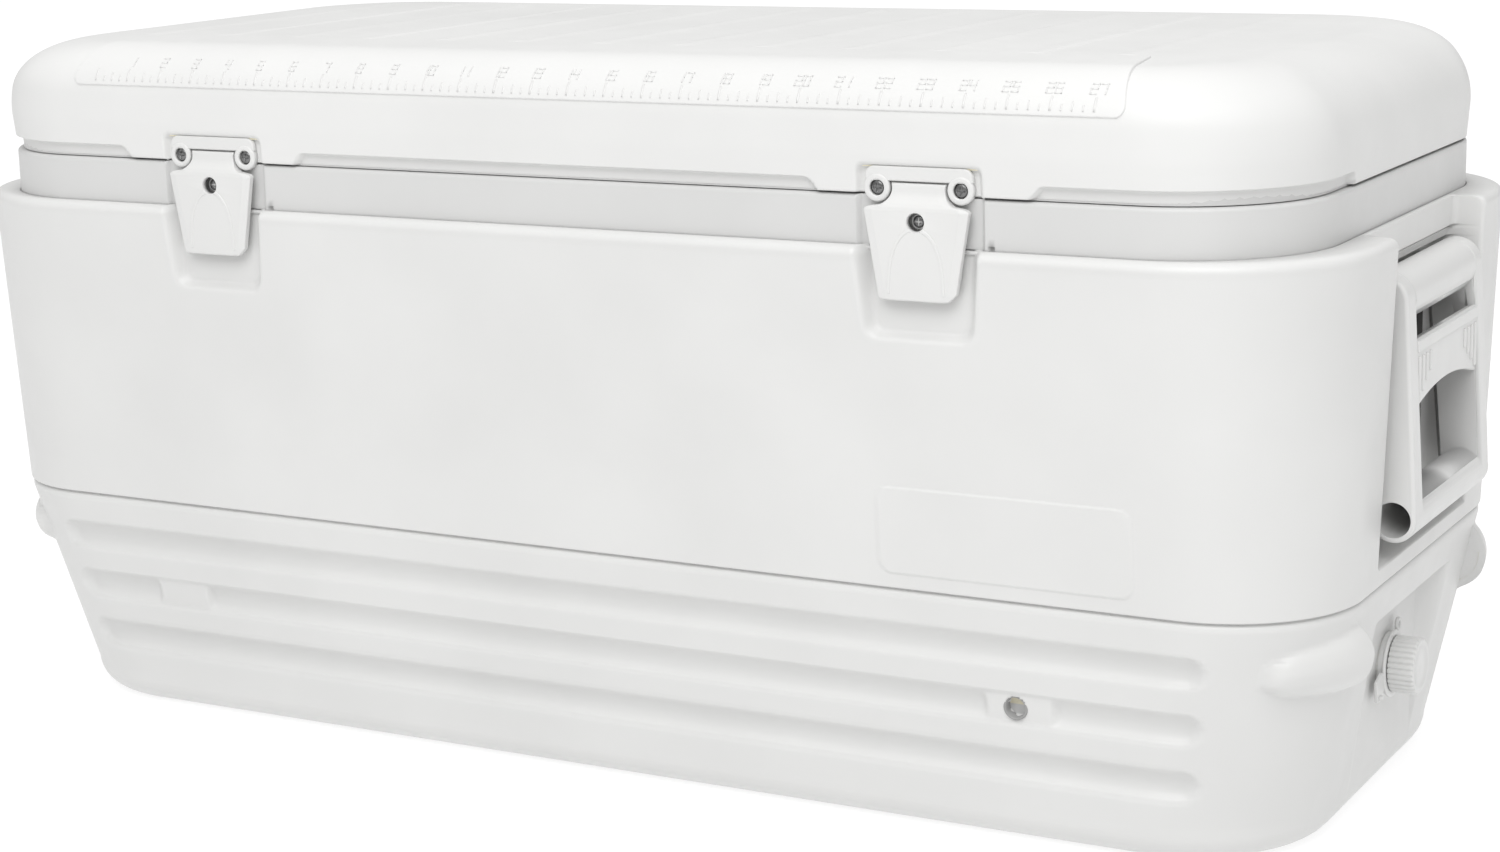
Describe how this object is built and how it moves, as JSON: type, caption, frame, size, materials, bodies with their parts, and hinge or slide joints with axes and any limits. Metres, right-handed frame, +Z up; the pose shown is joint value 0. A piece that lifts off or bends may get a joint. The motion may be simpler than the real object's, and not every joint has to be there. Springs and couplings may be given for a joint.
{
  "type": "cooler chest",
  "caption": "Large rectangular insulated chest cooler with a hinged lid, strap latches, swing-up end handles and a screw-on drain cap.",
  "frame": {"origin": "middle of the flat underside, on the resting surface", "axes": "+X along the length towards the drain end, -Y towards the latches, +Z up"},
  "size_m": [0.9808, 0.4335, 0.452],
  "materials": {
    "moulded_shell": "white satin moulded plastic, very fine texture",
    "moulded_lid": "white satin moulded plastic, very fine texture",
    "liner_plastic": "white smooth food-grade plastic",
    "foam": "pale yellow rigid insulation foam",
    "latch_plastic": "white smooth plastic",
    "handle_plastic": "white satin plastic",
    "drain_plastic": "white smooth plastic",
    "hinge_plastic": "white smooth plastic",
    "seal_rubber": "pale grey soft seal",
    "screw_steel": "zinc-plated steel"
  },
  "bodies": {
    "base": {"body_shell": "moulded_shell", "tub_liner": "liner_plastic", "body_foam": "foam", "latch_posts": "latch_plastic", "latch_post_screws": "screw_steel", "handle_pin_left": "screw_steel", "handle_pin_right": "screw_steel", "drain_spout": "drain_plastic", "drain_gasket": "seal_rubber", "drain_nut": "drain_plastic", "drain_tether": "drain_plastic", "hinge_body_leaf_left": "hinge_plastic", "hinge_body_leaf_middle": "hinge_plastic", "hinge_body_leaf_right": "hinge_plastic", "hinge_body_screws": "screw_steel"},
    "lid": {"lid_shell": "moulded_lid", "lid_liner": "liner_plastic", "lid_foam": "foam", "latch_strap_left": "latch_plastic", "latch_strap_right": "latch_plastic", "latch_strap_screws": "screw_steel", "hinge_lid_leaf_left": "hinge_plastic", "hinge_lid_leaf_middle": "hinge_plastic", "hinge_lid_leaf_right": "hinge_plastic", "hinge_lid_screws": "screw_steel", "hinge_pins": "screw_steel"},
    "left_latch": {"latch_flap_left": "latch_plastic"},
    "right_latch": {"latch_flap_right": "latch_plastic"},
    "left_handle": {"handle_left": "handle_plastic"},
    "right_handle": {"handle_right": "handle_plastic"},
    "cap_seal": {"drain_seal": "seal_rubber"},
    "cap": {"drain_cap": "drain_plastic"}
  },
  "joints": [
    {"name": "lid_hinge", "type": "hinge", "parent": "base", "child": "lid", "pos_m": [0, 0.214, 0.3813], "axis": [-1, 0, 0], "range_deg": [0, 100]},
    {"name": "left_latch_swing", "type": "hinge", "parent": "lid", "child": "left_latch", "pos_m": [-0.2459, -0.2072, 0.387], "axis": [-1, 0, 0], "range_deg": [0, 100]},
    {"name": "right_latch_swing", "type": "hinge", "parent": "lid", "child": "right_latch", "pos_m": [0.2459, -0.2072, 0.387], "axis": [-1, 0, 0], "range_deg": [0, 100]},
    {"name": "left_handle_swing", "type": "hinge", "parent": "base", "child": "left_handle", "pos_m": [-0.4682, 0, 0.314], "axis": [0, 1, 0], "range_deg": [0, 95]},
    {"name": "right_handle_swing", "type": "hinge", "parent": "base", "child": "right_handle", "pos_m": [0.4682, 0, 0.314], "axis": [0, -1, 0], "range_deg": [0, 95]},
    {"name": "cap_travel", "type": "slide", "parent": "base", "child": "cap_seal", "axis": [1, 0, 0], "range_m": [0, 0.006]},
    {"name": "cap_turn", "type": "hinge", "parent": "cap_seal", "child": "cap", "pos_m": [0.466, 0, 0.0815], "axis": [1, 0, 0], "range_deg": [0, 720]}
  ],
  "couplings": [
    {"joint": "cap_travel", "follows": "cap_turn", "m_per_rad": 0.00047746}
  ]
}
